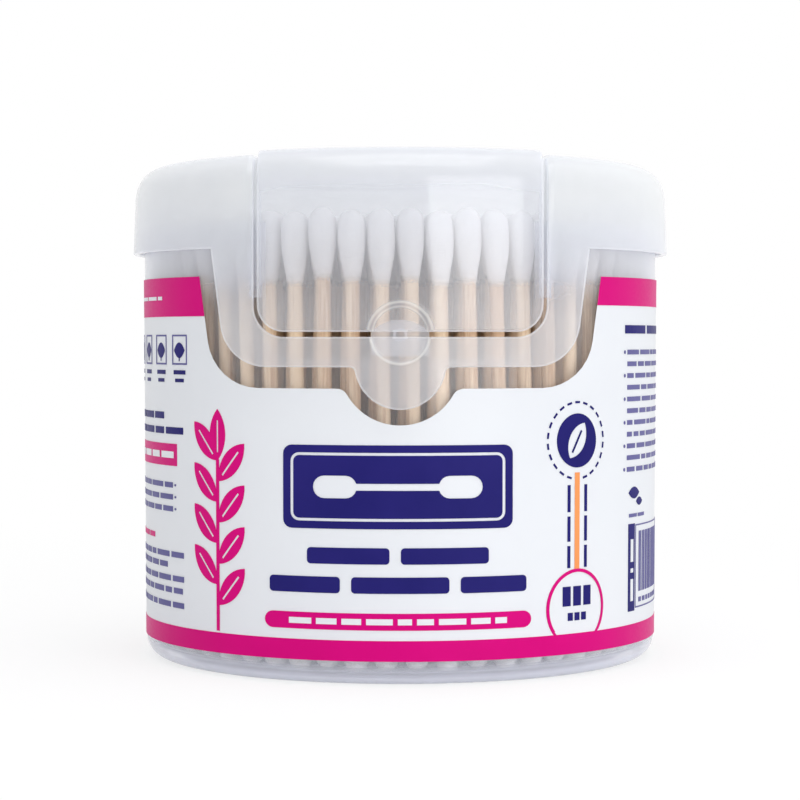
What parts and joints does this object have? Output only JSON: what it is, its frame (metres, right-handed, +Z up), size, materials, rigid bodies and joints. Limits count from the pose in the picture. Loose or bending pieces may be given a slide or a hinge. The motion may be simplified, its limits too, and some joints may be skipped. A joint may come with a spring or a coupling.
{
  "type": "cotton swab tub",
  "caption": "Round flip-top tub of wooden cotton swabs, with a push-on lid and a printed wrap-round label.",
  "frame": {"origin": "centre of the tub's base, on the surface it stands on", "axes": "+Z up along the tub's axis, -Y towards the flap and the label's front, +X to the viewer's right"},
  "size_m": [0.0936, 0.0938, 0.0859],
  "materials": {
    "tub_plastic": "natural translucent moulded plastic, smooth",
    "lid_plastic": "natural translucent moulded plastic, lightly frosted",
    "label_film": "satin printed film",
    "magenta_ink": "satin printed field",
    "navy_ink": "satin printed field",
    "orange_ink": "satin printed field",
    "birch_wood": "bare birch, fine grain",
    "cotton": "wound cotton, soft"
  },
  "bodies": {
    "tub": {"tub": "tub_plastic", "label": "label_film", "print_magenta": "magenta_ink", "print_navy": "navy_ink", "print_orange": "orange_ink", "wooden_sticks": "birch_wood", "upper_cotton_tips": "cotton", "lower_cotton_tips": "cotton"},
    "lid": {"lid": "lid_plastic"},
    "flap": {"flap": "lid_plastic"}
  },
  "joints": [
    {"name": "lid_lift", "type": "slide", "parent": "tub", "child": "lid", "axis": [0, 0, 1], "range_m": [0, 0.05]},
    {"name": "flap_hinge", "type": "hinge", "parent": "lid", "child": "flap", "pos_m": [0, -0.008, 0.0859], "axis": [-1, 0, 0], "range_deg": [0, 120]}
  ]
}
